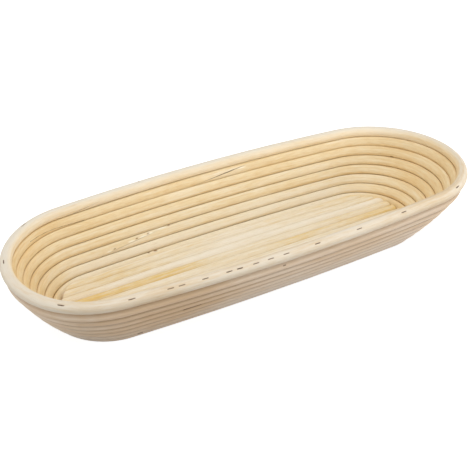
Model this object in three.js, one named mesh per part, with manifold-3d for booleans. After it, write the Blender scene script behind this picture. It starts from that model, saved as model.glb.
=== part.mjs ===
// Long oval proofing basket of round rattan cane: a floor of straight rods, seven stacked
// hoops of cane that lean outward, a thicker rim hoop, and the wire staples that hold them.
// Millimetres, +Z up. The origin is on the table, under the middle of the rim.

import * as THREE from 'three';
import { mergeVertices } from 'three/addons/utils/BufferGeometryUtils.js';
import Module from 'manifold-3d';

const wasm = await Module();
wasm.setup();

// Cane stock, and the gap kept between pieces that touch
const caneDiameter = 7.7;
const rimDiameter = 8.6;
const rodDiameter = 7.9;
const clearance = 0.3;

// Oval of the hoops: two round ends joined by slightly bulging sides
const rimEndSpan = 255;
const baseBow = 2.8;
const bowGain = 0.5;
const rightEndGain = 2;
const leftEndGain = 0.35;

// The left-hand end of the wall sinks by this much at the top, at the front by a larger share
const leftDip = 3.1;
const dipSkew = 0.5;

// The wall leans out more at the right-hand end, and its canes are stouter there by this share,
// so that the hoops stay close
const rightEndSwell = 0.14;

// Wall: seven hoops, each set outward from the one below, steeper towards the rim
const wallHoops = 7;
const firstLean = 40;
const leanLoss = 2.4;
const rimLean = 13.5;

// Floor: rods side by side, lifted off the table, ends cut at a slant along the base hoop
const rodCount = 9;
const floorLift = 0.4;
const rodEndGap = 1;

// Base hoop is dressed flat where it stands, by this share of its diameter
const footShare = 0.1;

// Scarf joint: the two ends of each hoop taper past each other
const scarfLength = 66;
const scarfTip = 1;
const scarfGap = 0.5;
const scarfToe = 0.6;
const scarfMargin = 2.4;

// Where each hoop's scarf begins, as a share of its loop, from the base hoop up, and the rim's.
// Loops start at the right-hand tip and run anticlockwise seen from above.
const scarfPlaces = [0.67, 0.12, 0.295, 0.71, 0.14, 0.6, 0.174];
const rimScarfPlace = 0.312;

// Staples: wire bent into a U. In the wall they go from a hoop's outer shoulder to the middle
// of the hoop below, and under the floor they go up past the middle of the lower of two pieces.
const wireSize = 1;
const crownWidth = 5;
const shoulderAngle = 50;
const buriedDepth = 0.5;
const floorDepth = 0.4;
const floorBite = 1;
const floorStapleReach = 60;
const pocketMouth = 2.5;

// Staples in the rim, as shares of its loop: the back row first, then the front row
const rimStaplePlaces = [
  0.039, 0.097, 0.155, 0.213, 0.271, 0.329, 0.364, 0.424, 0.477, 0.554, 0.604, 0.634,
  0.643, 0.662, 0.682, 0.691, 0.705, 0.718, 0.732, 0.761, 0.802, 0.849, 0.915,
];

// These two, at the left-hand end, are driven from nearer the top of the rim
const topStaples = [7, 8];
const topShoulderAngle = 75;

// One buried staple in each joint below the rim, as a share of the upper hoop's loop
const buriedStaplePlaces = [0.25, 0.45, 0.62, 0.83, 0.08, 0.29];

// Mesh fineness
const caneSides = 8;
const bendSteps = 10;
const sideSteps = 6;
const scarfSteps = 3;
const rodSteps = 8;
const gapSamples = 40;
const weldDistance = 1e-4;

const caneRadius = caneDiameter / 2;
const rimRadius = rimDiameter / 2;
const rodRadius = rodDiameter / 2;
const rodPitch = rodDiameter + clearance;
const floorHalfWidth = (rodCount * rodPitch + clearance) / 2;
const floorHeight = floorLift + rodRadius;
const middleRod = (rodCount - 1) / 2;
const degrees = THREE.MathUtils.degToRad;
const up = new THREE.Vector3(0, 0, 1);

// Sizes of every hoop, from the base hoop to the rim
function hoopList() {
  const list = [];
  let radius = floorHalfWidth + caneRadius;
  let height = caneRadius - footShare * caneDiameter;
  for (let index = 0; index <= wallHoops; index += 1) {
    const isRim = index === wallHoops;
    if (index > 0) {
      const lean = degrees(isRim ? rimLean : firstLean - leanLoss * (index - 1));
      const step = caneRadius + clearance + (isRim ? rimRadius : caneRadius);
      radius += step * Math.sin(lean);
      height += step * Math.cos(lean);
    }
    const left = -rimEndSpan / 2 + leftEndGain * (wallHoops - index);
    const right = rimEndSpan / 2 - rightEndGain * (wallHoops - index);
    list.push(hoop(index, isRim ? rimRadius : caneRadius, radius, height, left, right));
  }
  return list;
}

function hoop(index, thickness, radius, height, left, right) {
  const bow = baseBow + bowGain * index;
  const half = (right - left) / 2;
  const sideCentre = (half * half - bow * bow) / (2 * bow);
  const sideRadius = radius + Math.hypot(half, sideCentre);
  const sideAngle = Math.atan2(half, sideCentre);
  const bendLength = radius * (Math.PI - 2 * sideAngle);
  const sideLength = sideRadius * 2 * sideAngle;
  const loop = 2 * bendLength + 2 * sideLength;
  const middle = (left + right) / 2;
  const lastWall = Math.max(1, wallHoops - 1);
  const dip = (leftDip * Math.min(index, lastWall)) / lastWall;
  return {
    index, thickness, radius, height, dip, middle, half, bow,
    sideCentre, sideRadius, sideAngle, bendLength, sideLength, loop,
  };
}

// Point on a hoop's centre line and the outward direction there, at a distance along the loop
function onHoop(ring, distance) {
  const halfBend = ring.bendLength / 2;
  const along = THREE.MathUtils.euclideanModulo(distance + halfBend, ring.loop);
  const backHalf = along < ring.bendLength + ring.sideLength;
  const local = backHalf ? along : along - ring.bendLength - ring.sideLength;
  const flip = backHalf ? 1 : -1;
  const onBend = local < ring.bendLength;
  const angle = onBend
    ? (local - halfBend) / ring.radius
    : Math.PI / 2 - ring.sideAngle + (local - ring.bendLength) / ring.sideRadius;
  const outward = new THREE.Vector3(flip * Math.cos(angle), flip * Math.sin(angle), 0);
  return { point: arcPoint(ring, onBend, flip, outward), outward };
}

// Towards the left-hand end the line goes down by the hoop's dip
function arcPoint(ring, onBend, flip, outward) {
  const sag = THREE.MathUtils.smoothstep(-outward.x, 0, 1) * (1 - dipSkew * outward.y);
  const height = ring.height - ring.dip * sag;
  const centre = onBend
    ? new THREE.Vector3(ring.middle + flip * ring.half, 0, height)
    : new THREE.Vector3(ring.middle, -flip * ring.sideCentre, height);
  return centre.addScaledVector(outward, onBend ? ring.radius : ring.sideRadius);
}

// Point on a hoop's centre line where it faces a given way
function hoopFacing(ring, outward) {
  const onBend = Math.abs(outward.x) > Math.sin(ring.sideAngle);
  return arcPoint(ring, onBend, Math.sign(onBend ? outward.x : outward.y), outward);
}

// How much stouter a hoop is where it faces a given way
function swellAt(ring, outward) {
  return ring.index === wallHoops ? 1 : 1 + rightEndSwell * Math.max(0, outward.x);
}

// Distances along a loop where the hoop has a section, before its scarf adds its own
function loopStations(ring) {
  const list = [];
  for (let turn = 0; turn < 2; turn += 1) {
    const start = turn * (ring.bendLength + ring.sideLength) - ring.bendLength / 2;
    for (let step = 0; step < bendSteps; step += 1) {
      list.push(start + (ring.bendLength * step) / bendSteps);
    }
    for (let step = 0; step < sideSteps; step += 1) {
      list.push(start + ring.bendLength + (ring.sideLength * step) / sideSteps);
    }
  }
  return list;
}

// Cane sections as [outward, up] pairs: what a level cut leaves above it, or below it
function sectionAbove(radius, cut) {
  const first = Math.asin(cut / radius);
  const step = (Math.PI - 2 * first) / (caneSides - 1);
  return Array.from({ length: caneSides }, (_, corner) => {
    const angle = first + step * corner;
    return [radius * Math.cos(angle), radius * Math.sin(angle)];
  });
}

function sectionBelow(radius, cut) {
  const tilt = Math.asin(cut / radius);
  const step = (Math.PI + 2 * tilt) / (caneSides - 1);
  return Array.from({ length: caneSides }, (_, corner) => {
    const angle = Math.PI - tilt + step * ((corner + caneSides / 2) % caneSides);
    return [radius * Math.cos(angle), radius * Math.sin(angle)];
  });
}

function placeSection(section, point, outward) {
  return section.map(([out, rise]) => {
    return point.clone().addScaledVector(outward, out).addScaledVector(up, rise);
  });
}

// Closed skin over a row of sections, with a flat face at each end
function loft(sections) {
  const corners = sections[0].length;
  const position = sections.flat().flatMap((corner) => corner.toArray());
  const index = [];
  for (let row = 0; row + 1 < sections.length; row += 1) {
    for (let corner = 0; corner < corners; corner += 1) {
      const next = (corner + 1) % corners;
      const low = row * corners;
      const high = low + corners;
      index.push(low + corner, high + corner, high + next);
      index.push(low + corner, high + next, low + next);
    }
  }
  const last = (sections.length - 1) * corners;
  for (let corner = 1; corner + 1 < corners; corner += 1) {
    index.push(0, corner, corner + 1);
    index.push(last, last + corner + 1, last + corner);
  }
  const geometry = new THREE.BufferGeometry();
  geometry.setAttribute('position', new THREE.Float32BufferAttribute(position, 3));
  geometry.setIndex(index);
  return geometry;
}

// One hoop: an unbroken cane that goes once round and passes its own start in a scarf
function hoopSections(ring) {
  const radius = ring.thickness;
  const isBase = ring.index === 0;
  const foot = isBase ? -radius + footShare * 2 * radius : -radius;
  const full = isBase ? foot : -radius * Math.cos(Math.PI / caneSides);
  const isRim = ring.index === wallHoops;
  const share = isRim ? rimScarfPlace : scarfPlaces[ring.index % scarfPlaces.length];
  const start = share * ring.loop;
  const chord = (part) => THREE.MathUtils.lerp(radius - scarfTip, foot + scarfTip, part);
  const above = (cut) => sectionAbove(radius, cut);
  const below = (cut) => {
    return sectionBelow(radius, cut).map(([out, rise]) => [out, Math.max(rise, foot)]);
  };
  const at = (distance, section) => {
    const { point, outward } = onHoop(ring, distance);
    const swell = swellAt(ring, outward);
    const floor = isBase ? foot : -Infinity;
    const sized = section.map(([out, rise]) => [out * swell, Math.max(rise * swell, floor)]);
    return placeSection(sized, point, outward);
  };

  const opening = [];
  const closing = [];
  const finish = start + ring.loop;
  closing.push(at(finish - 2 * scarfToe, above(full)));
  closing.push(at(finish - scarfToe, below(chord(0) - scarfGap / 2)));
  for (let step = 0; step <= scarfSteps; step += 1) {
    const part = step / scarfSteps;
    opening.push(at(start + scarfLength * part, above(chord(part) + scarfGap / 2)));
    closing.push(at(finish + scarfLength * part, below(chord(part) - scarfGap / 2)));
  }
  const heel = start + scarfLength;
  opening.push(at(heel + scarfToe, above(chord(1) + scarfGap / 2)));
  opening.push(at(heel + 2 * scarfToe, above(full)));

  const between = loopStations(ring)
    .map((distance) => start + THREE.MathUtils.euclideanModulo(distance - start, ring.loop))
    .filter((distance) => distance > heel + scarfMargin && distance < finish - scarfMargin)
    .sort((a, b) => a - b)
    .map((distance) => at(distance, above(full)));
  return { opening, between, closing };
}

// Least distance between the two ends of a hoop, on points spread along both
function scarfClearance(opening, closing) {
  const spread = (sections) => sections.slice(1).flatMap((section, row) => {
    return section.flatMap((corner, place) => {
      return Array.from({ length: gapSamples }, (_, sample) => {
        return sections[row][place].clone().lerp(corner, sample / (gapSamples - 1));
      });
    });
  });
  const far = spread(closing);
  let least = Infinity;
  for (const point of spread(opening)) {
    for (const other of far) {
      least = Math.min(least, point.distanceToSquared(other));
    }
  }
  return Math.sqrt(least);
}

// Floor rod: follows its share of the base hoop's bulge. Both ends are cut at a slant, from how
// far the floor reaches at the rod's one side to how far it reaches at the other.
function rodSections(base, place) {
  const line = (place - middleRod) * rodPitch;
  const endRadius = floorHalfWidth - rodEndGap;
  const reachAt = (across) => Math.sqrt(Math.max(0, endRadius ** 2 - across ** 2));
  const front = reachAt(line - rodRadius);
  const back = reachAt(line + rodRadius);
  const section = sectionAbove(rodRadius, -rodRadius * Math.cos(Math.PI / caneSides));
  return Array.from({ length: rodSteps + 1 }, (_, step) => {
    const part = 1 - (2 * step) / rodSteps;
    const atEnd = Math.abs(part) === 1;
    return section.map(([out, rise]) => {
      const slant = THREE.MathUtils.lerp(front, back, (out / rodRadius + 1) / 2);
      const reach = atEnd ? slant : Math.max(front, back);
      const x = base.middle + part * (base.half + reach);
      return new THREE.Vector3(x, rodAcross(base, place, x) + out, floorHeight + rise);
    });
  });
}

function rodAcross(base, place, x) {
  const step = place - middleRod;
  const bulge = base.bow * Math.max(0, 1 - ((x - base.middle) / base.half) ** 2);
  return step * rodPitch + (step / middleRod) * bulge;
}

// Staple with its crown's outer face at the origin and its legs along -Y, grown all round
// for the pocket that it sits in, which is open at the crown
function stapleGeometry(leg, grow) {
  const side = crownWidth / 2 + grow;
  const inner = crownWidth / 2 - wireSize - grow;
  const tip = -leg - grow;
  const underside = -wireSize - grow;
  const top = grow > 0 ? pocketMouth : 0;
  const outline = new THREE.Shape([
    new THREE.Vector2(-side, tip),
    new THREE.Vector2(-inner, tip),
    new THREE.Vector2(-inner, underside),
    new THREE.Vector2(inner, underside),
    new THREE.Vector2(inner, tip),
    new THREE.Vector2(side, tip),
    new THREE.Vector2(side, top),
    new THREE.Vector2(-side, top),
  ]);
  const depth = wireSize + 2 * grow;
  const geometry = new THREE.ExtrudeGeometry(outline, { depth, bevelEnabled: false });
  return geometry.translate(0, 0, -depth / 2);
}

// Where a staple stands: its crown's middle, the crown's direction and the way it is driven
function stapleMatrix(crown, along, drive) {
  const back = drive.clone().negate();
  const side = new THREE.Vector3().crossVectors(along, back);
  return new THREE.Matrix4().makeBasis(along, back, side).setPosition(crown);
}

function wallStaple(upper, lower, distance, depth, slope) {
  const { point, outward } = onHoop(upper, distance);
  const angle = degrees(slope);
  const thickness = upper.thickness * swellAt(upper, outward);
  const shoulder = point
    .addScaledVector(outward, thickness * Math.cos(angle))
    .addScaledVector(up, thickness * Math.sin(angle));
  const path = shoulder.clone().sub(hoopFacing(lower, outward));
  const inward = path.dot(outward);
  const down = path.z;
  const drive = outward.clone().multiplyScalar(-inward).addScaledVector(up, -down).normalize();
  const crown = shoulder.addScaledVector(drive, depth);
  const along = new THREE.Vector3().crossVectors(up, outward);
  return {
    leg: Math.hypot(inward, down) - depth,
    matrix: stapleMatrix(crown, along, drive),
    holds: [hoopName(upper.index), hoopName(lower.index)],
  };
}

function floorStaple(base, joint) {
  const reach = joint % 2 === 0 ? floorStapleReach : -floorStapleReach;
  const x = base.middle + reach;
  const first = joint === 0;
  const last = joint === rodCount;
  const before = first ? rodAcross(base, 0, x) - rodPitch : rodAcross(base, joint - 1, x);
  const after = last ? before + rodPitch : rodAcross(base, joint, x);
  const crown = new THREE.Vector3(x, (before + after) / 2, floorLift + floorDepth);
  const middle = first || last ? Math.min(base.height, floorHeight) : floorHeight;
  return {
    leg: middle + floorBite - crown.z,
    matrix: stapleMatrix(crown, new THREE.Vector3(0, 1, 0), up),
    holds: [
      first ? hoopName(base.index) : rodName(joint - 1),
      last ? hoopName(base.index) : rodName(joint),
    ],
  };
}

function hoopName(index) {
  if (index === wallHoops) return 'rim_cane';
  return index === 0 ? 'base_cane' : `wall_cane_${index + 1}`;
}

function rodName(place) {
  return `floor_rod_${place + 1}`;
}

// Solids for cutting, and back again
function toSolid(geometry) {
  const plain = geometry.clone();
  plain.deleteAttribute('normal');
  plain.deleteAttribute('uv');
  const merged = mergeVertices(plain, weldDistance);
  return new wasm.Manifold(new wasm.Mesh({
    numProp: 3,
    vertProperties: new Float32Array(merged.attributes.position.array),
    triVerts: new Uint32Array(merged.index.array),
  }));
}

function toGeometry(solid) {
  const mesh = solid.getMesh();
  const geometry = new THREE.BufferGeometry();
  const position = new THREE.Float32BufferAttribute(mesh.vertProperties, mesh.numProp);
  geometry.setAttribute('position', position);
  geometry.setIndex(new THREE.BufferAttribute(mesh.triVerts, 1));
  return geometry;
}

const basket = new THREE.Group();
const hoops = hoopList();
const baseHoop = hoops[0];

const wallColour = new THREE.MeshStandardMaterial({ color: 0xe6cf9f, roughness: 0.6 });
const rimColour = new THREE.MeshStandardMaterial({ color: 0xe6d9c4, roughness: 0.55 });
const floorColour = new THREE.MeshStandardMaterial({ color: 0xeadcb8, roughness: 0.6 });
const wireColour = new THREE.MeshStandardMaterial({ color: 0x5b5048, roughness: 0.45, metalness: 0.9 });

function addPiece(name, geometry, material) {
  geometry.computeVertexNormals();
  const mesh = new THREE.Mesh(geometry, material);
  mesh.name = name;
  basket.add(mesh);
}

// Staples are listed first, each with the two pieces that it holds
const staples = [];
rimStaplePlaces.forEach((share, place) => {
  const upper = hoops[wallHoops];
  const slope = topStaples.includes(place) ? topShoulderAngle : shoulderAngle;
  const staple = wallStaple(upper, hoops[wallHoops - 1], share * upper.loop, 0, slope);
  staples.push({ name: `rim_staple_${place + 1}`, ...staple });
});
for (let joint = 1; joint < wallHoops; joint += 1) {
  const upper = hoops[joint];
  const share = buriedStaplePlaces[(joint - 1) % buriedStaplePlaces.length];
  const staple = wallStaple(upper, hoops[joint - 1], share * upper.loop, buriedDepth, shoulderAngle);
  staples.push({ name: `wall_staple_${joint}`, ...staple });
}
for (let joint = 0; joint <= rodCount; joint += 1) {
  staples.push({ name: `floor_staple_${joint + 1}`, ...floorStaple(baseHoop, joint) });
}

function withPockets(name, geometry) {
  let solid = toSolid(geometry);
  for (const staple of staples.filter((entry) => entry.holds.includes(name))) {
    const pocket = stapleGeometry(staple.leg, clearance).applyMatrix4(staple.matrix);
    solid = solid.subtract(toSolid(pocket));
  }
  return toGeometry(solid);
}

let leastGap = Infinity;
for (const ring of hoops) {
  const { opening, between, closing } = hoopSections(ring);
  leastGap = Math.min(leastGap, scarfClearance(opening, closing));
  const name = hoopName(ring.index);
  const material = ring.index === wallHoops ? rimColour : wallColour;
  addPiece(name, withPockets(name, loft([...opening, ...between, ...closing])), material);
}
console.log(`least gap of a hoop to itself ${leastGap.toFixed(2)} mm`);

for (let place = 0; place < rodCount; place += 1) {
  const name = rodName(place);
  addPiece(name, withPockets(name, loft(rodSections(baseHoop, place))), floorColour);
}

for (const staple of staples) {
  const geometry = stapleGeometry(staple.leg, 0).applyMatrix4(staple.matrix);
  addPiece(staple.name, geometry, wireColour);
}

export default basket;
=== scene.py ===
import bpy
import numpy as np
from mathutils import Matrix, Vector


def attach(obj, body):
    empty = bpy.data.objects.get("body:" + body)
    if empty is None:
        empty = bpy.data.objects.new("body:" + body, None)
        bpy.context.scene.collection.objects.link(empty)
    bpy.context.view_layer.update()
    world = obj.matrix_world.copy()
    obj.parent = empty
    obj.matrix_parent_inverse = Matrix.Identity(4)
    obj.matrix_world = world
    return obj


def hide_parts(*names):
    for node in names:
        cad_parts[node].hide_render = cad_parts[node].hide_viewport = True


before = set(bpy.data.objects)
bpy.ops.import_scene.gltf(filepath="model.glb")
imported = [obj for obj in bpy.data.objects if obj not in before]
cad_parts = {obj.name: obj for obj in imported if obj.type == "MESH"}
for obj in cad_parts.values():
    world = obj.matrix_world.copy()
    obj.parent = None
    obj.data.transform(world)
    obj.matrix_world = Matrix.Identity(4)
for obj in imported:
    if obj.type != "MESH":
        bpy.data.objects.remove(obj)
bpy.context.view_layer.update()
mm = 0.001
upward = np.array([0.0, 0.0, 1.0])
sharpAngle = 38.0           # edges sharper than this aren't smoothed
farAway = 9.0               # stands for no split, dent or joint nearby
print("frame loaded,", len(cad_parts), "nodes")


# The oval and the lean of the wall, in mm, as the CAD frame has them
basket = {
    "endSpan": 255.0,       # between the centres of the rim's two round ends
    "baseBow": 2.8,         # how far the long sides bulge
    "bowGain": 0.5,
    "rightEndGain": 2.0,
    "leftEndGain": 0.35,
    "leftDip": 3.1,         # how far the left-hand end sinks, more at the front than at the back
    "dipSkew": 0.5,
    "wallHoops": 7,
    "baseRadius": 40.9,
    "baseHeight": 3.08,
    "caneStep": 8.0,        # centre to centre, one hoop to the next
    "rimStep": 8.45,
    "firstLean": 40.0,
    "leanLoss": 2.4,
    "rimLean": 13.5,
}


def makeHoops():
    # Each hoop goes out and up from the one below by the cane's step along the wall's lean
    hoops = []
    radius = basket["baseRadius"]
    height = basket["baseHeight"]
    top = basket["wallHoops"]
    for index in range(top + 1):
        if index > 0:
            isRim = index == top
            lean = basket["rimLean"] if isRim else basket["firstLean"] - basket["leanLoss"] * (index - 1)
            step = basket["rimStep"] if isRim else basket["caneStep"]
            radius += step * np.sin(np.radians(lean))
            height += step * np.cos(np.radians(lean))
        left = -basket["endSpan"] / 2 + basket["leftEndGain"] * (top - index)
        right = basket["endSpan"] / 2 - basket["rightEndGain"] * (top - index)
        half = (right - left) / 2
        bow = basket["baseBow"] + basket["bowGain"] * index
        sideCentre = (half * half - bow * bow) / (2 * bow)
        sideRadius = radius + np.hypot(half, sideCentre)
        sideAngle = np.arctan2(half, sideCentre)
        bend = radius * (np.pi - 2 * sideAngle)
        side = sideRadius * 2 * sideAngle
        hoops.append({
            "index": index, "radius": radius, "height": height,
            "dip": basket["leftDip"] * min(index, top - 1) / (top - 1),
            "middle": (left + right) / 2, "half": half, "bow": bow,
            "sideCentre": sideCentre, "sideRadius": sideRadius, "sideAngle": sideAngle,
            "bend": bend, "side": side, "loop": 2 * bend + 2 * side,
        })
    return hoops


def arcPoint(ring, flip, onBend, outward):
    # Centre of the arc plus its radius times the outward direction, lower towards the left end
    nothing = np.zeros_like(flip)
    sag = ramp(-outward[:, 0], 0.0, 1.0) * (1 - basket["dipSkew"] * outward[:, 1])
    x = ring["middle"] + np.where(onBend, flip * ring["half"], nothing)
    y = np.where(onBend, nothing, -flip * ring["sideCentre"])
    centre = np.stack([x, y, ring["height"] - ring["dip"] * sag], 1)
    reach = np.where(onBend, ring["radius"], ring["sideRadius"])
    return centre + reach[:, None] * outward


def hoopLine(ring, along):
    # Four arcs in turn from the right-hand tip: right end, back side, left end, front side
    run = np.mod(along + ring["bend"] / 2, ring["loop"])
    backHalf = run < ring["bend"] + ring["side"]
    local = np.where(backHalf, run, run - ring["bend"] - ring["side"])
    flip = np.where(backHalf, 1.0, -1.0)
    onBend = local < ring["bend"]
    endAngle = (local - ring["bend"] / 2) / ring["radius"]
    longAngle = np.pi / 2 - ring["sideAngle"] + (local - ring["bend"]) / ring["sideRadius"]
    angle = np.where(onBend, endAngle, longAngle)
    outward = np.stack([flip * np.cos(angle), flip * np.sin(angle), np.zeros_like(angle)], 1)
    return arcPoint(ring, flip, onBend, outward), outward


def hoopFacing(ring, outward):
    # Where a hoop faces a given way: on an end arc or on a side arc, by the slope of that way
    onBend = np.abs(outward[:, 0]) > np.sin(ring["sideAngle"])
    flip = np.where(onBend, np.sign(outward[:, 0]), np.sign(outward[:, 1]))
    return arcPoint(ring, flip, onBend, outward)


def stations(start, stop, step, fine):
    # Equal shares of the summed density 1/step, which is raised round each fine place
    samples = 20001
    line = np.linspace(start, stop, samples)
    density = np.full_like(line, 1.0 / step)
    for centre, reach, fineStep in fine:
        density = np.maximum(density, np.exp(-((line - centre) / reach) ** 4) / fineStep)
    shares = (density[1:] + density[:-1]) / 2 * np.diff(line)
    total = np.concatenate([[0.0], np.cumsum(shares)])
    return np.interp(np.linspace(0.0, total[-1], int(total[-1]) + 2), total, line)


def waver(along, seed, lengths):
    # Sum of sine waves of the given lengths in mm, with seeded phases, within about -1 to 1
    draw = np.random.default_rng(seed)
    phases = draw.uniform(0, 2 * np.pi, len(lengths))
    waves = [np.sin(2 * np.pi * along / length + phase) for length, phase in zip(lengths, phases)]
    return sum(waves) / len(lengths)


def arcTo(theta, direction):
    # Shortest turn from a direction round the section, in radians
    return np.mod(theta - direction + np.pi, 2 * np.pi) - np.pi


def section(turn, above, below, across, squareness):
    # Superellipse |v/a|^n + |w/b|^n = 1, whose half-width a differs up and down
    rise = np.cos(turn)
    sway = np.sin(turn)
    size = (np.abs(rise) ** squareness + np.abs(sway) ** squareness) ** (1 / squareness)
    return np.where(rise > 0, above, below) * rise / size, across * sway / size


def ramp(value, low, high):
    # 0 at low and 1 at high, smoothly between them
    part = np.clip((value - low) / (high - low), 0.0, 1.0)
    return part * part * (3 - 2 * part)


def skin(name, grid, values, material):
    # A grid of rows and sides in mm, closed round its sides and capped at both ends
    rows, sides = grid.shape[:2]
    count = rows * sides
    ends = np.stack([grid[0].mean(0), grid[-1].mean(0)])
    spots = np.concatenate([grid.reshape(-1, 3), ends]) * mm
    index = np.arange(count).reshape(rows, sides)
    turned = np.roll(index, -1, 1)
    quads = np.stack([index[:-1], index[1:], turned[1:], turned[:-1]], 2).reshape(-1, 4)
    first = np.stack([index[0], turned[0], np.full(sides, count)], 1)
    last = np.stack([turned[-1], index[-1], np.full(sides, count + 1)], 1)
    mesh = bpy.data.meshes.new(name)
    mesh.from_pydata(spots.tolist(), [], quads.tolist() + first.tolist() + last.tolist())
    for label, field in values.items():
        wide = field.ndim == 3
        tail = np.stack([field[0].mean(0), field[-1].mean(0)]).reshape(2, -1)
        whole = np.concatenate([field.reshape(count, -1), tail]).astype(np.float32)
        store = mesh.attributes.new(label, "FLOAT_VECTOR" if wide else "FLOAT", "POINT")
        store.data.foreach_set("vector" if wide else "value", whole.ravel())
    mesh.polygons.foreach_set("use_smooth", np.ones(len(mesh.polygons), bool))
    mesh.set_sharp_from_angle(angle=np.radians(sharpAngle))
    mesh.materials.append(material)
    piece = bpy.data.objects.new(name, mesh)
    bpy.context.scene.collection.objects.link(piece)
    return piece


def carry(piece, slot, *nodes):
    # The piece moves with the basket and stands for its CAD nodes
    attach(piece, "root")
    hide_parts(*nodes)


def fillRamp(colours, stops):
    for place, (position, colour) in enumerate(stops):
        stop = colours.elements[place] if place < 2 else colours.elements.new(position)
        stop.position = position
        stop.color = colour


class Wire:
    # A socket of a material. Sums and products of values add Math nodes.
    def __init__(self, tree, socket=None):
        self.tree = tree
        self.socket = socket

    def node(self, kind, settings, sockets, output=0):
        # Any node: its settings first, then each socket's value or link
        made = self.tree.nodes.new(kind)
        for label, value in settings.items():
            if label == "stops":
                fillRamp(made.color_ramp, value)
            else:
                setattr(made, label, value)
        for label, value in sockets.items():
            if isinstance(value, Wire):
                self.tree.links.new(value.socket, made.inputs[label])
            else:
                made.inputs[label].default_value = value
        return Wire(self.tree, made.outputs[output])

    def maths(self, operation, first, second):
        return self.node("ShaderNodeMath", {"operation": operation}, {0: first, 1: second})

    def __add__(self, other):
        return self.maths("ADD", self, other)

    def __radd__(self, other):
        return self.maths("ADD", other, self)

    def __sub__(self, other):
        return self.maths("SUBTRACT", self, other)

    def __rsub__(self, other):
        return self.maths("SUBTRACT", other, self)

    def __mul__(self, other):
        return self.maths("MULTIPLY", self, other)

    def __rmul__(self, other):
        return self.maths("MULTIPLY", other, self)

    def most(self, other):
        return self.maths("MAXIMUM", self, other)

    def ease(self, low, high):
        # 0 at low and 1 at high, smoothly between them
        settings = {"interpolation_type": "SMOOTHSTEP"}
        sockets = {"Value": self, "From Min": low, "From Max": high}
        return self.node("ShaderNodeMapRange", settings, sockets)

    def tint(self, colour, share):
        # This colour with a share of another one laid over it
        return self.node("ShaderNodeMix", {"data_type": "RGBA"}, {0: share, 6: self, 7: colour}, 2)

    def read(self, label, output):
        return self.node("ShaderNodeAttribute", {"attribute_name": label}, {}, output)


def paint(code):
    # Six hex digits of a screen colour, as linear light
    screen = np.array([int(code[place:place + 2], 16) for place in (0, 2, 4)]) / 255
    light = np.where(screen <= 0.04045, screen / 12.92, ((screen + 0.055) / 1.055) ** 2.4)
    return (*light.tolist(), 1.0)


def newMaterial(name):
    material = bpy.data.materials.new(name)
    material.use_nodes = True
    material.node_tree.nodes.clear()
    return material, Wire(material.node_tree)


def peeledCane(name, finish):
    # Rattan core: slow drifts of colour along the cane, streaks and fine pores. The side that is
    # turned out of the basket gets a less yellow copy of the tones as painted light, and the grooves
    # get painted shade. Splits, torn fibres and stains have colours of their own; painted shade is
    # added round the staples' crowns and at the rods' open ends, with their dark end grain.
    material, start = newMaterial(name)
    lay = start.read("lay", "Vector")
    tone = start.read("tone", "Fac")
    outside = start.read("outside", "Fac")
    grooveShade = start.read("grooveShade", "Fac")
    split = start.read("split", "Fac")
    torn = start.read("torn", "Fac")
    stain = start.read("stain", "Fac")

    def grain(along, across, detail):
        # Noise with so many waves to the metre along the cane and across it
        spot = lay.node("ShaderNodeMapping", {}, {"Vector": lay, "Scale": (along, across, across)})
        return spot.node("ShaderNodeTexNoise", {}, {"Vector": spot, "Scale": 1.0, "Detail": detail}, 0)

    drift = grain(*finish["drift"])
    streak = grain(*finish["streak"])
    fibre = grain(*finish["fibre"])
    pore = fibre.ease(*finish["poreEdge"])
    fleck = grain(*finish["fleck"])
    vary = (drift - 0.5) * finish["driftGain"] + (streak - 0.5) * finish["streakGain"]
    vary = vary + (fleck - 0.5) * finish["fleckGain"]
    warmth = (tone + vary).ease(0.0, 1.0)
    colour = start.node("ShaderNodeValToRGB", {"stops": finish["tones"]}, {"Fac": warmth}, 0)
    # The outer side takes its own copy of the tones, less yellow than inside: painted light, for the white
    # bounce outside against the warm bounce inside the bowl
    shadeSideColour = start.node("ShaderNodeValToRGB", {"stops": finish["shadeSideTones"]}, {"Fac": warmth}, 0)
    colour = colour.tint(shadeSideColour, outside)
    colour = colour.tint(finish["poreColour"], pore * finish["poreShare"])
    # Painted shade in the grooves: a thin line inside, a broad band outside
    colour = colour.tint(finish["grooveShadeColour"], grooveShade * (1 - outside) * finish["grooveShadeShare"])
    colour = colour.tint(finish["outerGrooveShadeColour"], grooveShade * outside * finish["outerGrooveShadeShare"])
    # Stains, and on the rods' open ends dark end grain with painted shade of the gap
    colour = colour.tint(finish["stainAndShadeColour"], stain)
    colour = colour.tint(finish["tornColour"], torn)
    # Splits and joint lines, and painted shade round each staple's crown in its dent
    splitAndDentShade = 1 - split.ease(*finish["splitAndDentShadeEdge"])
    colour = colour.tint(finish["splitAndDentShadeColour"], splitAndDentShade * finish["splitAndDentShadeShare"])
    streakRough, poreRough = finish["roughVary"]
    rough = finish["rough"] + (streak - 0.5) * streakRough + pore * poreRough
    fibreRelief, streakRelief = finish["relief"]
    height = fibre * fibreRelief + streak * streakRelief
    sockets = {"Strength": finish["bump"], "Distance": finish["bumpDepth"], "Height": height}
    relief = start.node("ShaderNodeBump", {}, sockets)
    shader = start.node("ShaderNodeBsdfPrincipled", {}, {
        "Base Color": colour, "Roughness": rough, "Normal": relief,
        "Specular IOR Level": finish["shine"],
    })
    closeMaterial(material, shader)
    return material


def closeMaterial(material, shader):
    output = material.node_tree.nodes.new("ShaderNodeOutputMaterial")
    material.node_tree.links.new(shader.socket, output.inputs["Surface"])


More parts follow.
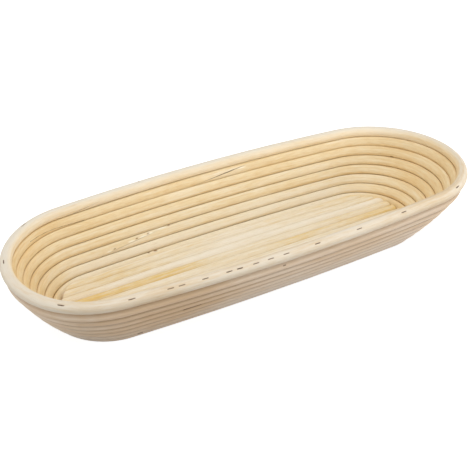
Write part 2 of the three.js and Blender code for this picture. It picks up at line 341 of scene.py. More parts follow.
wallFinish = {
    "tones": [(0.0, paint("f1e4ca")), (0.5, paint("ebd6ad")), (1.0, paint("e2c38d"))],
    # The outer side's copy is less yellow: painted light
    "shadeSideTones": [(0.0, paint("e9d9c6")), (0.5, paint("e0c9ae")), (1.0, paint("d5b793"))],
    "drift": (9.0, 60.0, 2.0), "driftGain": 0.55,
    "streak": (14.0, 650.0, 3.0), "streakGain": 0.75,
    "fleck": (120.0, 700.0, 3.0), "fleckGain": 0.6,
    "fibre": (90.0, 3600.0, 2.0),
    "poreColour": paint("c39a63"), "poreShare": 0.25, "poreEdge": (0.56, 0.7),
    # Painted shade in the grooves, inside and outside
    "grooveShadeColour": paint("835a2e"), "grooveShadeShare": 0.8,
    "outerGrooveShadeColour": paint("86694c"), "outerGrooveShadeShare": 0.6,
    # Stains, and painted shade of the gap on the rods' open ends
    "stainAndShadeColour": paint("946632"),
    "tornColour": paint("fbf3de"),
    # Splits and joints, and painted shade round the staples
    "splitAndDentShadeColour": paint("5a3b1f"), "splitAndDentShadeShare": 0.75, "splitAndDentShadeEdge": (0.4, 1.1),
    "rough": 0.6, "roughVary": (0.2, 0.1), "shine": 0.35,
    "bump": 0.2, "bumpDepth": 0.0004, "relief": (0.6, 0.8),
}
rimFinish = dict(wallFinish, grooveShadeShare=0.4, outerGrooveShadeShare=0.32, poreShare=0.2)
rimFinish["tones"] = [(0.0, paint("f0e2c8")), (0.5, paint("ebd5ac")), (1.0, paint("e2c08a"))]
# The rim's outer copy, palest at the back: painted light
rimFinish["shadeSideTones"] = [(0.0, paint("e5dccb")), (0.5, paint("e3d6c1")), (1.0, paint("d8c09c"))]
rodFinish = dict(wallFinish, grooveShadeShare=0.25, poreShare=0.2)
rodFinish["tones"] = [(0.0, paint("f3e9d6")), (0.5, paint("ebdab9")), (1.0, paint("e4c278"))]

wallMaterial = peeledCane("peeled_cane", wallFinish)
rimMaterial = peeledCane("rim_cane", rimFinish)
rodMaterial = peeledCane("floor_cane", rodFinish)
print("cane finishes made")


# Hoops of the wall and the rim. Places are shares of a loop, from the base hoop up.
wallCane = {
    "sides": 60,
    "step": 2.0,            # rows along the cane, and closer ones: reach and step
    "tipRows": (2.0, 0.3),
    "markMargin": 2.0,
    "markStep": 0.6,
    "innerSquare": 3.0,     # flatter inside the basket than outside
    "outerSquare": 2.1,
    "press": 1.01,          # hoops press a little into each other
    "scarfLength": 66.0,
    "scarfTip": 0.7,
    "scarfGap": 0.25,
    "scarfToe": 0.6,
    "gapVary": 0.6,
    "gapWaves": [23.0, 11.0],
    "gapSeed": 50,
    "scarfPlaces": [0.67, 0.12, 0.295, 0.71, 0.14, 0.6, 0.189, 0.312],
    # How open each scarf is, from its upper to its lower end
    "scarfShows": [
        [0.0, 0.0], [0.0, 0.0], [0.05, 0.2, 0.45, 0.35, 0.15], [0.1, 0.1],
        [0.0, 0.0], [0.1, 0.0], [0.0, 0.0, 0.6, 1.0, 0.8, 0.4, 0.3], [0.0, 0.0, 0.1, 0.35, 0.3],
    ],
    "tones": [0.12, 0.17, 0.28, 0.44, 0.46, 0.48, 0.48, 0.42],
    "rightTone": 0.2,       # warmer towards the ends, and more so in the lowest hoops
    "leftTone": 0.3,
    "lowGain": 1.5,
    "lowHoops": 4,
    "frontTone": 0.35,      # browner outside, left of the middle of the front
    "frontPlace": -105.0,
    "frontReach": 48.0,
    "toneVary": 0.12,
    "toneWaves": [260.0, 120.0, 61.0],
    "toneSeed": 90,
    "lobes": (0.006, 0.0036),
    "twist": 300.0,         # mm of cane to one radian
    "swell": 0.012,
    "swellWaves": [173.0, 91.0, 47.0],
    "innerSide": (0.0, 0.3),
    "outerSide": (-0.35, 0.35),
    # Painted shade in the grooves: heights where it starts and where it is full, inside, outside and under
    "innerGrooveShade": (0.92, 0.99),
    "outerGrooveShade": (0.45, 0.85),
    "underGrooveShade": (0.3, 0.8),
    "underRimShade": 0.5,        # share of the painted groove shade in the hoop under the rim
    # less painted shade towards the left end
    "leftGrooveShadeLoss": 0.4,
    "jointWidth": 0.42,
    "jointVary": 0.35,
    "jointWaves": [17.0, 7.0, 4.3],
    "jointSeed": 70,
    "tight": 1.1,           # hides the line of a joint that doesn't show
    "grainShift": (0.37, 0.11, 0.07),
    "seed": 40,
}
rimCane = {
    "squareness": 2.08,
    "radius": 4.4,
    "dentReach": 2.2,       # half of a staple's crown
    "dentWidth": 0.55,
    "dentDepth": 0.42,
    "dentFall": 0.9,
    "stapleRows": (4.2, 0.4),
    "innerWay": (0.8, -0.6),    # towards the bowl: shares of w and v
    "outerSide": (-0.3, 0.9),
    # painted light: the rim is paler towards the back
    "backLightPale": 0.2,
}
# Splits run along a side of a hoop, 1 inside and -1 outside: loop in mm, height from -1 to 1
splits = [
    {"hoop": 6, "side": 1, "along": (345.0, 372.0, 400.0), "height": (-0.85, -0.45, -0.1), "width": 0.3},
    {"hoop": 3, "side": -1, "along": (539.0, 547.0, 555.0), "height": (0.74, 0.78, 0.8), "width": 0.45},
    {"hoop": 0, "side": -1, "along": (433.0, 435.5, 438.0), "height": (0.56, 0.6, 0.6), "width": 0.4},
    {"hoop": 6, "side": -1, "along": (680.0, 681.0, 682.5), "height": (0.6, 0.62, 0.62), "width": 0.5},
]
# Torn fibres and stains beside the joints: loop and length in mm, height and breadth as above
marks = [
    {"hoop": 2, "kind": "torn", "along": 277.0, "height": 0.1, "length": 3.2, "breadth": 0.16},
    {"hoop": 2, "kind": "torn", "along": 266.0, "height": 0.3, "length": 3.6, "breadth": 0.16},
    {"hoop": 2, "kind": "torn", "along": 259.0, "height": 0.45, "length": 2.2, "breadth": 0.14},
    {"hoop": 2, "kind": "torn", "along": 248.0, "height": 0.72, "length": 4.5, "breadth": 0.14},
    {"hoop": 2, "kind": "torn", "along": 298.0, "height": -0.45, "length": 2.5, "breadth": 0.12},
    {"hoop": 2, "kind": "stain", "along": 272.0, "height": 0.3, "length": 1.1, "breadth": 0.12},
    {"hoop": 2, "kind": "stain", "along": 261.0, "height": 0.5, "length": 1.2, "breadth": 0.13},
    {"hoop": 2, "kind": "stain", "along": 241.0, "height": 0.9, "length": 1.2, "breadth": 0.14},
    {"hoop": 2, "kind": "stain", "along": 293.0, "height": -0.3, "length": 1.1, "breadth": 0.1},
    {"hoop": 6, "kind": "torn", "along": 196.0, "height": 0.12, "length": 4.5, "breadth": 0.12},
    {"hoop": 0, "kind": "stain", "along": 240.0, "height": 0.8, "length": 1.6, "breadth": 0.16},
    {"hoop": 0, "kind": "stain", "along": 246.0, "height": 0.85, "length": 1.0, "breadth": 0.12},
    {"hoop": 5, "kind": "stain", "along": 40.0, "height": -0.95, "length": 1.8, "breadth": 0.12},
]
stapleWire = {
    "size": 1.0,
    "crown": 5.0,
    "shoulder": 50.0,
    "rimRadius": 4.3,
    "caneRadius": 3.85,
    "rodRadius": 3.95,
    "buried": 0.5,
    "floorDepth": 0.4,
    "floorBite": 1.0,
    "floorReach": 60.0,
    "bend": 0.75,
    "sides": 14,
    "squareness": 3.0,
    "bendRows": 7,
    "legRows": 6,
    "crownRows": 9,
    "rimPlaces": [
        0.039, 0.097, 0.155, 0.213, 0.271, 0.329, 0.364, 0.424, 0.477, 0.554, 0.604, 0.634,
        0.643, 0.662, 0.682, 0.691, 0.705, 0.718, 0.732, 0.761, 0.802, 0.849, 0.915,
    ],
    "topStaples": [7, 8],   # nearer the top of the rim
    "topShoulder": 75.0,
    # How far each crown is driven below the shoulder
    "rimSinks": [
        0.1, 0.15, 0.05, 0.2, 0.1, 0.15, 0.1, 0.05, 0.0, 0.05, 0.12, 0.2,
        0.2, 0.18, 0.1, -0.05, 0.22, 0.32, 0.15, 0.12, 0.15, 0.1, 0.05,
    ],
    "tilt": 7.0,
    "wallPlaces": [0.25, 0.45, 0.62, 0.83, 0.08, 0.29],
    "seed": 11,
}
hoops = makeHoops()
topHoop = basket["wallHoops"]


def gapTo(other, point, outward):
    # Distance from a hoop's line to a neighbour's, and its direction in the section
    across = hoopFacing(other, outward) - point
    out = (across * outward).sum(1)
    rise = across[:, 2]
    return np.hypot(out, rise), np.arctan2(rise, out)


def hoopShape(ring, point, outward):
    # Direction up the wall, and half-widths up and down it that reach the neighbours' sides:
    # half the way to a wall hoop, and to the rim what the rim's own radius leaves
    index = ring["index"]
    wide = np.full(len(point), rimCane["radius"])
    above = below = wide
    upWay = downWay = None
    if index < topHoop:
        far, upWay = gapTo(hoops[index + 1], point, outward)
        above = far - wide if index == topHoop - 1 else far / 2
    if index > 0:
        far, downWay = gapTo(hoops[index - 1], point, outward)
        below = wide if index == topHoop else far / 2
    if upWay is None:
        return downWay + np.pi, below, below
    if downWay is None:
        return upWay, above, above
    lean = np.arctan2(np.sin(upWay) - np.sin(downWay), np.cos(upWay) - np.cos(downWay))
    return lean, above, below


def rimShoulder(place):
    # Where a staple goes into the rim, as a turn from the way out
    return np.radians(stapleWire["topShoulder" if place in stapleWire["topStaples"] else "shoulder"])


def dents(ring, along, theta, radius):
    # Distance from each staple's crown, 1 at the edge of its dent
    nearest = np.full((len(along), theta.shape[1]), farAway)
    if ring["index"] != topHoop:
        return nearest
    for place, share in enumerate(stapleWire["rimPlaces"]):
        arc = radius * arcTo(theta, rimShoulder(place))
        run = np.mod(along - share * ring["loop"] + ring["loop"] / 2, ring["loop"]) - ring["loop"] / 2
        beyond = np.maximum(np.abs(run) - rimCane["dentReach"], 0.0)[:, None]
        nearest = np.minimum(nearest, np.hypot(beyond, arc) / rimCane["dentWidth"])
    return nearest


def fallingCut(part, above, below):
    # Level of the scarf's cut, from near the top of the cane to near its underside
    tip = wallCane["scarfTip"]
    return above - tip - (above + below - 2 * tip) * np.clip(part, 0, 1)


def markField(index, kind, run, height, inner):
    # Soft-edged patches, 1 in the middle, on the inner side of a hoop
    field = np.zeros_like(height)
    for mark in marks:
        if mark["hoop"] == index and mark["kind"] == kind:
            away = ((run - mark["along"]) / mark["length"])[:, None] ** 2
            away = away + ((height - mark["height"]) / mark["breadth"]) ** 2
            field = np.maximum(field, np.exp(-away ** 2))
    return field * inner


def splitField(index, run, height, half, side):
    # Distance from each split's line, 1 at its edge
    field = np.full_like(height, farAway)
    for split in splits:
        if split["hoop"] == index:
            first, last = split["along"][0], split["along"][-1]
            level = np.interp(run, split["along"], split["height"])[:, None]
            beyond = np.maximum(np.maximum(first - run, run - last), 0.0)[:, None]
            away = np.hypot((height - level) * half, beyond) / split["width"]
            field = np.minimum(field, np.where(split["side"] * side > 0, away, farAway))
    return field


def hoopRows(ring, start):
    # Places along a hoop from one tip of its scarf to the other, closer at tips, staples and marks
    loop = ring["loop"]
    length = wallCane["scarfLength"]
    fine = [(start + loop, *wallCane["tipRows"]), (start + length, *wallCane["tipRows"])]
    spots = []
    if ring["index"] == topHoop:
        spots = [(share * loop, *rimCane["stapleRows"]) for share in stapleWire["rimPlaces"]]
    for mark in marks:
        if mark["hoop"] == ring["index"]:
            spots.append((mark["along"], mark["length"] + wallCane["markMargin"], wallCane["markStep"]))
    for turn in range(2):
        fine += [(place + turn * loop, reach, step) for place, reach, step in spots]
    return stations(start, start + loop + length, wallCane["step"], fine)


def scarfCut(ring, along, start, above, below, seed):
    # The scarf's cut falls from top to bottom: one end of the hoop keeps what is above it, the other
    # what is below. Shares of the scarf's length, the levels kept, and how open the joint is.
    length = wallCane["scarfLength"]
    opening = ((along - start) / length)[:, None]
    closing = ((along - start - ring["loop"]) / length)[:, None]
    shows = wallCane["scarfShows"][ring["index"]]
    # Rows within one and a half lengths of the start are at the first tip, the others at the second
    part = np.where(opening < 1.5, opening, closing)
    show = np.interp(part, np.linspace(0, 1, len(shows)), shows)
    waves = waver(along, seed + wallCane["gapSeed"], wallCane["gapWaves"])[:, None]
    gap = show * wallCane["scarfGap"] * (1 + wallCane["gapVary"] * waves)
    toe = wallCane["scarfToe"] / length
    low = np.where(opening < 1 + toe, fallingCut(opening, above, below) + gap / 2, -np.inf)
    high = np.where(closing > -toe, fallingCut(closing, above, below) - gap / 2, np.inf)
    return {"opening": opening, "closing": closing, "low": low, "high": high, "show": show}


def jointLine(cut, v, along, seed):
    # Distance from the scarf's cut, 1 at the edge of its line, and beyond that where it is tight
    after = np.where(cut["closing"] > 0, cut["high"] - v, farAway)
    away = np.where(cut["opening"] < 1, v - cut["low"], after)
    waves = waver(along, seed + wallCane["jointSeed"], wallCane["jointWaves"])[:, None]
    faint = 1 - wallCane["jointVary"] * waves
    return np.maximum(away, 0.0) / wallCane["jointWidth"] * faint + wallCane["tight"] * (1 - cut["show"])


def hoopGrooveShade(index, height, inside, leftward):
    # Painted shade, 1 in the groove between two hoops: a thin line inside the basket, a broad one outside,
    # less towards the left end
    thin = ramp(np.abs(height), *wallCane["innerGrooveShade"])
    upper = ramp(height, *wallCane["outerGrooveShade"])
    if index == topHoop - 1:
        upper = upper * wallCane["underRimShade"]
    broad = np.maximum(upper, ramp(-height, *wallCane["underGrooveShade"]))
    return np.where(inside, thin, broad * (1 - wallCane["leftGrooveShadeLoss"] * leftward))


def hoopTone(index, along, point, outward, inner, outside):
    # Warmth of the cane: its own, with slow waves, more at the ends and outside at the front. The rim
    # only gets a paler back, which is painted light from behind.
    seed = wallCane["seed"] + index
    waves = waver(along, seed + wallCane["toneSeed"], wallCane["toneWaves"])
    tone = wallCane["tones"][index] + wallCane["toneVary"] * waves
    if index == topHoop:
        # Painted light: paler towards the back
        return (tone - rimCane["backLightPale"] * outward[:, 1])[:, None]
    gain = 1 + wallCane["lowGain"] * max(0.0, 1 - index / wallCane["lowHoops"])
    tone = tone + gain * wallCane["rightTone"] * np.maximum(outward[:, 0], 0.0)
    left = gain * wallCane["leftTone"] * np.maximum(-outward[:, 0], 0.0)
    away = (point[:, 0] - wallCane["frontPlace"]) / wallCane["frontReach"]
    front = wallCane["frontTone"] * np.exp(-away ** 2) * np.maximum(-outward[:, 1], 0.0)
    return tone[:, None] + left[:, None] * inner + front[:, None] * outside


def hoopSkin(ring):
    # A rounded section carried once round the oval and past its own start in a scarf joint. In the
    # section, v goes up the wall and w into the basket.
    index = ring["index"]
    isRim = index == topHoop
    seed = wallCane["seed"] + index
    start = wallCane["scarfPlaces"][index] * ring["loop"]
    along = hoopRows(ring, start)
    point, outward = hoopLine(ring, along)
    lean, above, below = hoopShape(ring, point, outward)
    swell = 1 + wallCane["swell"] * waver(along, seed, wallCane["swellWaves"])
    above = (above * swell * wallCane["press"])[:, None]
    below = (below * swell * wallCane["press"])[:, None]
    across = (above + below) / 2
    turns = np.linspace(0, 2 * np.pi, wallCane["sides"], endpoint=False)[None, :]
    squareness = np.where(turns < np.pi, wallCane["innerSquare"], wallCane["outerSquare"])
    if isRim:
        squareness = rimCane["squareness"]
    v, w = section(turns, above, below, across, squareness)

    # Slow lobes that twist along the cane, and dents at the staples
    tilt = lean[:, None]
    dent = dents(ring, along, turns + tilt, across)
    twist = turns + tilt + along[:, None] / wallCane["twist"]
    three, five = wallCane["lobes"]
    lobes = three * np.cos(3 * twist + seed) + five * np.cos(5 * twist - 2 * seed)
    dip = rimCane["dentDepth"] / across * np.exp(-dent ** 2 * rimCane["dentFall"])
    scale = 1 + lobes - dip
    v = v * scale
    w = w * scale

    # What the scarf's cut takes away is drawn in to the cut
    cut = scarfCut(ring, along, start, above, below, seed)
    level = np.clip(v, cut["low"], cut["high"])
    half = np.where(v > 0, above, below)
    width = across * np.maximum(1 - np.abs(level / half) ** squareness, 0.0) ** (1 / squareness)
    w = np.where(level != v, np.clip(w, -width, width), w)
    v = level
    out = v * np.cos(tilt) - w * np.sin(tilt)
    rise = v * np.sin(tilt) + w * np.cos(tilt)
    if index == 0:
        rise = np.maximum(rise, -ring["height"])
    grid = point[:, None, :] + outward[:, None, :] * out[:, :, None] + upward * rise[:, :, None]

    height = v / half
    inner = ramp(w / across, *wallCane["innerSide"])
    # Painted shade in the grooves
    grooveShade = hoopGrooveShade(index, height, w > 0, np.maximum(-outward[:, 0], 0.0)[:, None])
    if isRim:
        # On the rim, painted shade only on its underside
        grooveShade = np.where(v < 0, grooveShade, 0.0)
        inward, lift = rimCane["innerWay"]
        outside = 1 - ramp(inward * w / across + lift * height, *rimCane["outerSide"])
    else:
        outside = 1 - ramp(w / across, *wallCane["outerSide"])
    run = np.mod(along, ring["loop"])
    # Round each staple's crown the split colour is laid too: painted shade in the dent
    split = np.minimum(dent, jointLine(cut, v, along, seed))
    split = np.minimum(split, splitField(index, run, height, half, w))
    shift = np.array(wallCane["grainShift"]) * seed
    return grid, {
        "lay": np.stack([along[:, None] + 0 * out, out, rise], 2) * mm + shift,
        "grooveShade": grooveShade, "split": np.minimum(split, farAway), "outside": outside,
        "tone": hoopTone(index, along, point, outward, inner, outside) + 0 * out,
        "torn": markField(index, "torn", run, height, inner),
        "stain": markField(index, "stain", run, height, inner),
    }


def hoopNode(index):
    if index == topHoop:
        return "rim_cane"
    return "base_cane" if index == 0 else f"wall_cane_{index + 1}"


for ring in hoops:
    grid, values = hoopSkin(ring)
    isRim = ring["index"] == topHoop
    title = "rim_hoop" if isRim else f"wall_hoop_{ring['index'] + 1}"
    piece = skin(title, grid, values, rimMaterial if isRim else wallMaterial)
    carry(piece, "rim_cane" if isRim else "wall_cane", hoopNode(ring["index"]))
print("hoops made:", len(hoops))


# Floor rods, the first one at the front
floorRod = {
    "count": 9,
    "diameter": 7.9,
    "pitch": 8.2,
    "lift": 0.4,
    "endGap": 0.4,
    "wideGaps": {(6, -1): 1.8, (7, -1): 1.8, (5, 1): 1.0, (4, 1): 1.2},     # rod and end
    # dark end grain and painted shade of the gap on the open ends
    "endGrainShade": 0.75,
    "endReach": 0.8,
    "loose": {"rod": 4, "from": 60.0, "to": 105.0, "gap": 0.35},
    "halfWidth": 37.05,
    "sides": 44,
    "step": 2.5,
    "tipRows": (1.5, 0.12),
    "squareness": 2.3,
    "round": 0.45,          # worn edge of a cut end
    "press": 1.01,
    "lobes": (0.008, 0.005),
    "swell": 0.012,
    "swellWaves": [131.0, 67.0, 37.0],
    "clear": 0.02,          # above the table
    # painted shade at the sides where the rods meet
    "grooveShade": (0.9, 0.995),
    "grainShift": (0.29, 0.13, 0.05),
    "seed": 70,
    # Warmth of each rod at four places along it
    "tonePlaces": [-150.0, -90.0, 0.0, 130.0],
    "tones": [
        [0.4, 0.4, 0.4, 0.45], [0.5, 0.5, 0.45, 0.4], [0.35, 0.35, 0.35, 0.4],
        [0.4, 0.35, 0.3, 0.35], [0.45, 0.4, 0.4, 0.56], [0.98, 0.8, 0.4, 0.5],
        [0.4, 0.25, 0.05, 0.2], [0.5, 0.4, 0.2, 0.35], [0.55, 0.45, 0.3, 0.5],
    ],
    "toneVary": 0.1,
    "toneWaves": [190.0, 83.0],
    "toneSeed": 30,
    "tipTone": 0.25,        # warmer towards the cut ends at the right
    "tipReach": 9.0,
}


def rodAcross(place, x):
    # Sideways place of a rod: it follows its share of the base hoop's bulge
    base = hoops[0]
    step = place - (floorRod["count"] - 1) / 2
    share = step / ((floorRod["count"] - 1) / 2)
    bulge = base["bow"] * np.maximum(0.0, 1 - ((x - base["middle"]) / base["half"]) ** 2)
    return step * floorRod["pitch"] + share * bulge


def rodSkin(place):
    # A rounded section carried along the rod, as wide as the room between its neighbours. Each
    # side runs on to where the base hoop stops it. Bare ends beside a wide gap are darkened: dark end
    # grain with painted shade of the gap.
    base = hoops[0]
    radius = floorRod["diameter"] / 2
    line = (place - (floorRod["count"] - 1) / 2) * floorRod["pitch"]
    end = base["half"] + floorRod["halfWidth"]
    worn = floorRod["round"]
    fine = [(-end, *floorRod["tipRows"]), (end, *floorRod["tipRows"])]
    along = stations(-end, end, floorRod["step"], fine)
    turns = np.linspace(0, 2 * np.pi, floorRod["sides"], endpoint=False)[None, :]
    seed = floorRod["seed"] + place
    toEnd = np.minimum(end - np.abs(along), worn)
    loss = worn - np.sqrt(np.maximum(worn ** 2 - (worn - toEnd) ** 2, 0.0))
    swell = 1 + floorRod["swell"] * waver(along, seed, floorRod["swellWaves"])
    middle = base["middle"] + along
    room = rodAcross(place + 1, middle) - rodAcross(place, middle)
    three, five = floorRod["lobes"]
    lobes = 1 + three * np.cos(3 * turns + seed) + five * np.cos(5 * turns - seed)
    loose = floorRod["loose"]
    slack = loose["gap"] * ramp(along, loose["from"], loose["to"]) if place == loose["rod"] else 0.0
    wide = (room / 2 * floorRod["press"] * swell - loss - slack)[:, None]
    tall = (radius * swell - loss)[:, None]
    rise, across = section(turns, tall, tall, wide, floorRod["squareness"])
    rise = np.maximum(rise * lobes, -radius - floorRod["lift"] + floorRod["clear"])
    across = across * lobes
    reach = np.sqrt(np.maximum(floorRod["halfWidth"] ** 2 - (line + across) ** 2, 0.0))
    gaps = [floorRod["wideGaps"].get((place, side), floorRod["endGap"]) for side in (-1, 1)]
    gap = np.where(along < 0, gaps[0], gaps[1])[:, None]
    x = base["middle"] + along[:, None] / end * (base["half"] + reach - gap)
    grid = np.stack([x, rodAcross(place, x) + across, floorRod["lift"] + radius + rise], 2)
    warm = np.interp(along, floorRod["tonePlaces"], floorRod["tones"][place])
    warm = warm + floorRod["tipTone"] * np.exp(-(end - along) / floorRod["tipReach"])
    waves = waver(along, seed + floorRod["toneSeed"], floorRod["toneWaves"])
    warm = warm + floorRod["toneVary"] * waves
    shift = np.array(floorRod["grainShift"]) * seed
    nothing = np.zeros_like(x)
    # Dark end grain with painted shade of the gap, where a rod's end stands clear of the base hoop
    bare = np.where(gap > floorRod["endGap"], floorRod["endGrainShade"], 0.0)
    stain = bare * np.exp(-((end - np.abs(along)) / floorRod["endReach"]) ** 2)[:, None]
    return grid, {
        "lay": np.stack([x, across, rise], 2) * mm + shift,
        # painted shade where the rods meet
        "grooveShade": ramp(np.abs(across / wide), *floorRod["grooveShade"]),
        "split": nothing + farAway, "outside": nothing, "tone": warm[:, None] + nothing,
        "torn": nothing, "stain": stain + nothing,
    }


for place in range(floorRod["count"]):
    grid, values = rodSkin(place)
    piece = skin(f"rod_{place + 1}", grid, values, rodMaterial)
    carry(piece, "floor_rod", f"floor_rod_{place + 1}")
print("floor rods made:", floorRod["count"])


wireFinish = {
    "tones": [(0.35, paint("4a4038")), (0.65, paint("6b5138"))],
    "patches": 900.0, "detail": 3.0,
    "rough": 0.45, "roughVary": 0.25, "metal": 0.6,
    "bump": 0.2, "bumpDepth": 0.0001,
}


def dulledWire(name):
    # Steel wire gone dull: dark, with patches of brown
    material, start = newMaterial(name)
    spot = start.node("ShaderNodeTexCoord", {}, {}, "Object")
    sockets = {"Vector": spot, "Scale": wireFinish["patches"], "Detail": wireFinish["detail"]}
    patch = start.node("ShaderNodeTexNoise", {}, sockets, 0)
    colour = start.node("ShaderNodeValToRGB", {"stops": wireFinish["tones"]}, {"Fac": patch}, 0)
    rough = wireFinish["rough"] + patch * wireFinish["roughVary"]
    sockets = {"Strength": wireFinish["bump"], "Distance": wireFinish["bumpDepth"], "Height": patch}
    relief = start.node("ShaderNodeBump", {}, sockets)
    shader = start.node("ShaderNodeBsdfPrincipled", {}, {
        "Base Color": colour, "Roughness": rough, "Normal": relief, "Metallic": wireFinish["metal"],
    })
    closeMaterial(material, shader)
    return material


def stapleSkin(crown, way, drive, leg):
    # A rounded wire section carried along a U: down one leg, across the crown, down the other
    size = stapleWire["size"]
    bend = stapleWire["bend"]
    half = stapleWire["crown"] / 2 - size / 2
    turn = np.linspace(0, np.pi / 2, stapleWire["bendRows"])
    legRun = np.linspace(leg - size / 2, bend, stapleWire["legRows"])[:-1]
    crownRun = np.linspace(-half + bend, half - bend, stapleWire["crownRows"])[1:-1]
    straight = np.full_like(legRun, half)
    alongPath = np.concatenate([
        -straight, -half + bend - bend * np.cos(turn), crownRun,
        half - bend + bend * np.sin(turn), straight,
    ])
    depth = np.concatenate([
        legRun, bend - bend * np.sin(turn), 0 * crownRun,
        bend - bend * np.cos(turn), legRun[::-1],
    ]) + size / 2
    tangent = np.stack([np.gradient(alongPath), np.gradient(depth)], 1)
    tangent = tangent / np.linalg.norm(tangent, axis=1)[:, None]
    turns = np.linspace(0, 2 * np.pi, stapleWire["sides"], endpoint=False)
    flat, proud = section(turns, size / 2, size / 2, size / 2, stapleWire["squareness"])
    side = np.cross(drive, way)
    sway = alongPath[:, None] + tangent[:, 1:2] * proud
    sink = depth[:, None] - tangent[:, 0:1] * proud
    level = crown + sway[:, :, None] * way + sink[:, :, None] * drive
    return level + (0 * sway + flat)[:, :, None] * side


def wallStaple(upper, lower, distance, thickness, depth, angle):
    # From the upper hoop's outer shoulder to the middle of the hoop below
    point, outward = hoopLine(upper, np.array([distance]))
    under = hoopFacing(lower, outward)[0]
    point = point[0]
    outward = outward[0]
    shoulder = point + thickness * (np.cos(angle) * outward + np.sin(angle) * upward)
    inward = (shoulder - under) @ outward
    down = shoulder[2] - under[2]
    leg = np.hypot(inward, down)
    drive = -(inward * outward + down * upward) / leg
    return shoulder + drive * depth, np.cross(upward, outward), drive, leg - depth


def tilted(held, angle):
    # The staple turned a little about the way it is driven
    crown, way, drive, leg = held
    return crown, np.cos(angle) * way + np.sin(angle) * np.cross(drive, way), drive, leg


def floorStaple(joint):
    # Under the floor, across the joint of two rods or of a rod and the base hoop
    base = hoops[0]
    last = floorRod["count"]
    x = base["middle"] + (stapleWire["floorReach"] if joint % 2 == 0 else -stapleWire["floorReach"])
    before = rodAcross(joint - 1, x) if joint > 0 else rodAcross(0, x) - floorRod["pitch"]
    after = rodAcross(joint, x) if joint < last else before + floorRod["pitch"]
    crown = np.array([x, (before + after) / 2, floorRod["lift"] + stapleWire["floorDepth"]])
    middle = base["height"] if joint in (0, last) else floorRod["lift"] + stapleWire["rodRadius"]
    return crown, np.array([0.0, 1.0, 0.0]), upward, middle + stapleWire["floorBite"] - crown[2]


staples = []
rim = hoops[topHoop]
draw = np.random.default_rng(stapleWire["seed"])
for place, share in enumerate(stapleWire["rimPlaces"]):
    sink = stapleWire["rimSinks"][place]
    thickness = stapleWire["rimRadius"]
    held = wallStaple(rim, hoops[topHoop - 1], share * rim["loop"], thickness, sink, rimShoulder(place))
    turn = np.radians(draw.uniform(-stapleWire["tilt"], stapleWire["tilt"]))
    staples.append((f"rim_staple_{place + 1}", tilted(held, turn)))
for joint, share in enumerate(stapleWire["wallPlaces"]):
    upper = hoops[joint + 1]
    deep = stapleWire["buried"]
    angle = np.radians(stapleWire["shoulder"])
    held = wallStaple(upper, hoops[joint], share * upper["loop"], stapleWire["caneRadius"], deep, angle)
    staples.append((f"wall_staple_{joint + 1}", held))
for joint in range(floorRod["count"] + 1):
    staples.append((f"floor_staple_{joint + 1}", floorStaple(joint)))
wireMaterial = dulledWire("dulled_wire")
for node, held in staples:
    grid = stapleSkin(*held)
    piece = skin(node.replace("staple", "wire"), grid, {}, wireMaterial)
    carry(piece, "staple", node)
print("staples made:", len(staples))


# Plain white ground, soft light from all round, a softbox above and low fills at both ends
studio = {
    "dome": 0.57,
    "ground": paint("b6b6b6"),
    "groundGlow": 0.84,
    "groundSide": 4.0,
    "groundLevel": -0.0002,     # clear of the flat foot
    "lamps": [
        {"name": "softbox", "power": 7.9, "size": 1.0, "place": (-0.1, -0.25, 1.35)},
        {"name": "right_fill", "power": 3.15, "size": 0.3, "place": (0.6, -0.7, 0.17)},
        {"name": "left_fill", "power": 0.8, "size": 0.3, "place": (-0.8, -0.1, 0.17)},
    ],
}


def seenDirectly(start):
    # 1 for rays that show the white background: straight to the camera, mirrored or through glass
    path = start.node("ShaderNodeLightPath", {}, {}, "Is Camera Ray")
    light = path.socket.node
    glossy = Wire(start.tree, light.outputs["Is Glossy Ray"])
    through = Wire(start.tree, light.outputs["Is Transmission Ray"])
    return path.most(glossy).most(through)


def makeGround():
    mesh = bpy.data.meshes.new("ground")
    side = studio["groundSide"]
    level = studio["groundLevel"]
    corners = [(-side, -side, level), (side, -side, level), (side, side, level), (-side, side, level)]
    mesh.from_pydata(corners, [], [(0, 1, 2, 3)])
    material, start = newMaterial("white_ground")
    matt = start.node("ShaderNodeBsdfDiffuse", {}, {"Color": studio["ground"]})
    strength = seenDirectly(start) * studio["groundGlow"]
    glow = start.node("ShaderNodeEmission", {}, {"Strength": strength})
    closeMaterial(material, start.node("ShaderNodeAddShader", {}, {0: matt, 1: glow}))
    mesh.materials.append(material)
    ground = bpy.data.objects.new("ground", mesh)
    bpy.context.scene.collection.objects.link(ground)


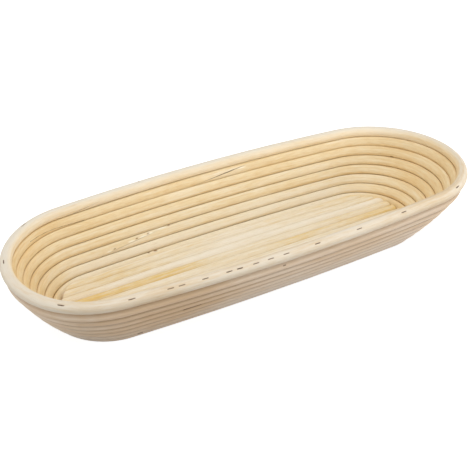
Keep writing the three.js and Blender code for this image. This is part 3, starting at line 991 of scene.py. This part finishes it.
def makeLight():
    world = bpy.data.worlds.new("white_room")
    world.use_nodes = True
    world.node_tree.nodes.clear()
    start = Wire(world.node_tree)
    strength = studio["dome"] + seenDirectly(start) * (1 - studio["dome"])
    sockets = {"Color": (1.0, 1.0, 1.0, 1.0), "Strength": strength}
    sky = start.node("ShaderNodeBackground", {}, sockets)
    output = world.node_tree.nodes.new("ShaderNodeOutputWorld")
    world.node_tree.links.new(sky.socket, output.inputs["Surface"])
    bpy.context.scene.world = world
    for plan in studio["lamps"]:
        lamp = bpy.data.lights.new(plan["name"], "AREA")
        lamp.energy = plan["power"]
        lamp.size = plan["size"]
        box = bpy.data.objects.new(plan["name"], lamp)
        box.location = plan["place"]
        box.rotation_euler = (-Vector(plan["place"])).to_track_quat("-Z", "Y").to_euler()
        bpy.context.scene.collection.objects.link(box)


# Camera at the photograph's place: azimuth, elevation and roll in degrees, eye in mm
viewpoint = {
    "eye": (-396.18, -629.00, 468.76),
    "azimuth": -31.36,
    "elevation": 30.849,
    "roll": -0.206,
    "lens": 83.039,
    "sensor": 36.0,
    "clip": (0.01, 50.0),
}


def makeCamera():
    azimuth, elevation, roll = (np.radians(viewpoint[label]) for label in ("azimuth", "elevation", "roll"))
    level = np.cos(elevation)
    back = np.array([np.sin(azimuth) * level, -np.cos(azimuth) * level, np.sin(elevation)])
    right = np.array([np.cos(azimuth), np.sin(azimuth), 0.0])
    top = np.cross(back, right)
    turned = np.cos(roll) * right + np.sin(roll) * top
    upright = np.cos(roll) * top - np.sin(roll) * right
    place = np.eye(4)
    place[:3, :3] = np.stack([turned, upright, back], 1)
    place[:3, 3] = np.array(viewpoint["eye"]) * mm
    lens = bpy.data.cameras.new("viewpoint")
    lens.sensor_width = viewpoint["sensor"]
    lens.lens = viewpoint["lens"]
    lens.clip_start, lens.clip_end = viewpoint["clip"]
    eye = bpy.data.objects.new("viewpoint", lens)
    bpy.context.scene.collection.objects.link(eye)
    eye.matrix_world = Matrix(place.tolist())
    bpy.context.scene.camera = eye


makeGround()
makeLight()
makeCamera()
bpy.context.scene.view_settings.view_transform = "Standard"
print("ground, light and camera made")
